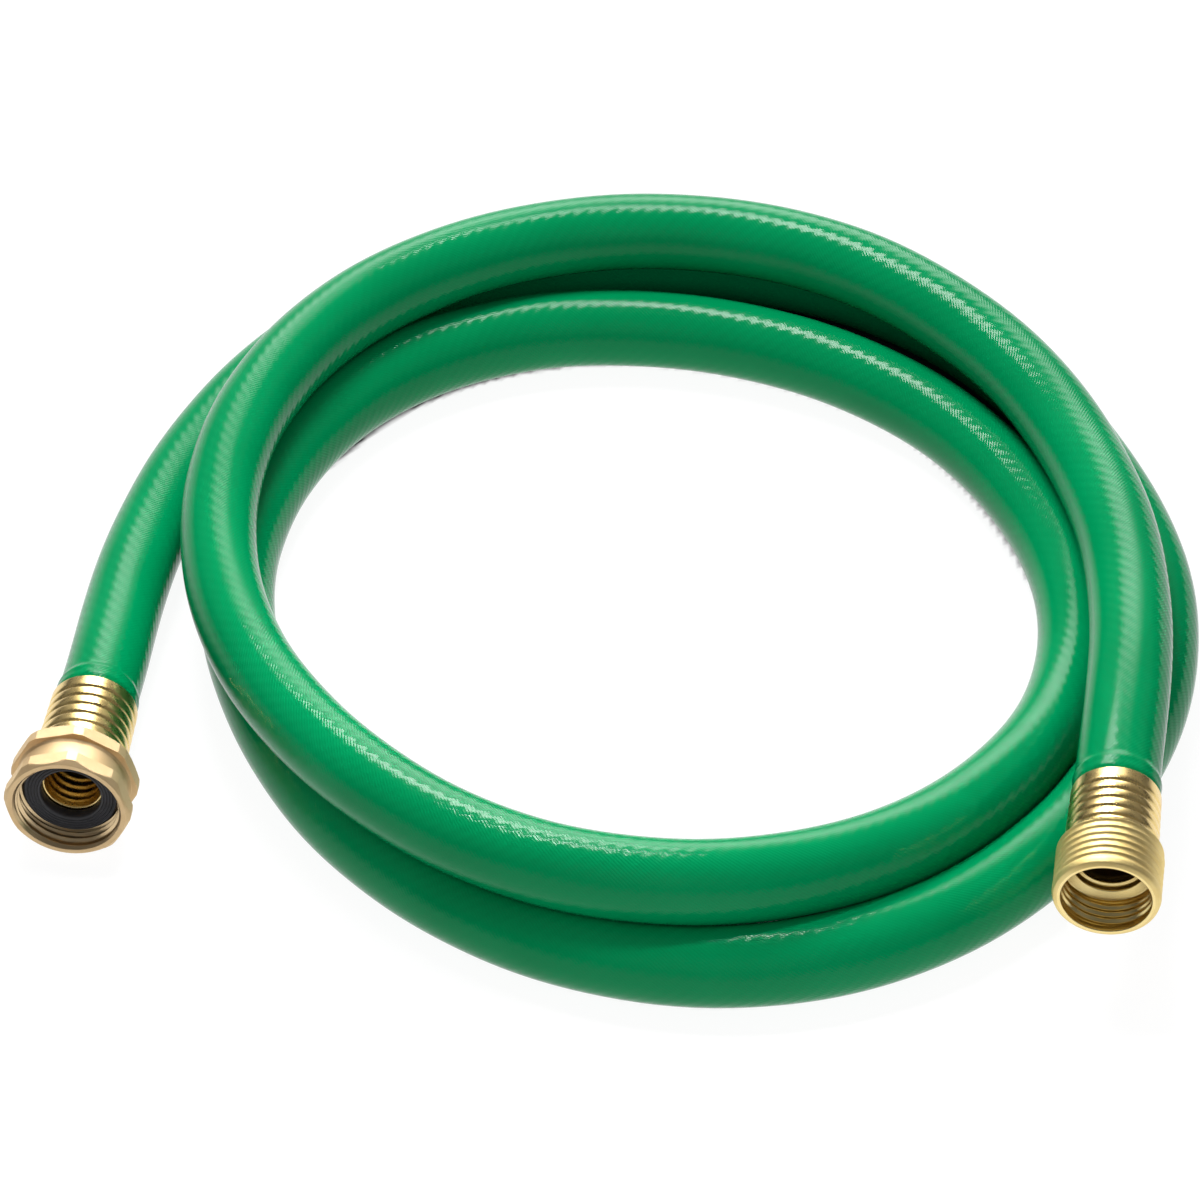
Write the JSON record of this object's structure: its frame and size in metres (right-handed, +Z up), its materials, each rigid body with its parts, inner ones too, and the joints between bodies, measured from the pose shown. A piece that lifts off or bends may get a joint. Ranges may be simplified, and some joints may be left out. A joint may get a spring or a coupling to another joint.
{
  "type": "garden hose",
  "caption": "Short green vinyl garden hose lying in loose rings, with a ribbed brass male coupling at one end and an octagonal brass swivel nut with a black washer at the other",
  "frame": {"origin": "on the floor under the middle of the bounding box", "axes": "+Z up from the floor; +Y away from the two couplings, which both point roughly along -Y; +X towards the male coupling's side"},
  "size_m": [0.3092, 0.3053, 0.0466],
  "materials": {
    "hose": "glossy flexible green vinyl, the knitted reinforcement showing faintly as fine slanting ribs",
    "brass": "polished yellow brass",
    "nut_brass": "satin machined brass, slightly paler",
    "washer": "black rubber with fine concentric ridges"
  },
  "bodies": {
    "hose": {"hose": "hose", "male_ferrule": "brass", "male_coupling": "brass", "female_ferrule": "brass", "female_tailpiece": "brass"},
    "swivel_nut": {"swivel_nut": "nut_brass", "washer": "washer"}
  },
  "joints": [
    {"name": "nut_swivel", "type": "hinge", "parent": "hose", "child": "swivel_nut", "pos_m": [-0.13641, -0.07892, 0.01681], "axis": [-0.1196, -0.9928, 0], "continuous": true}
  ]
}
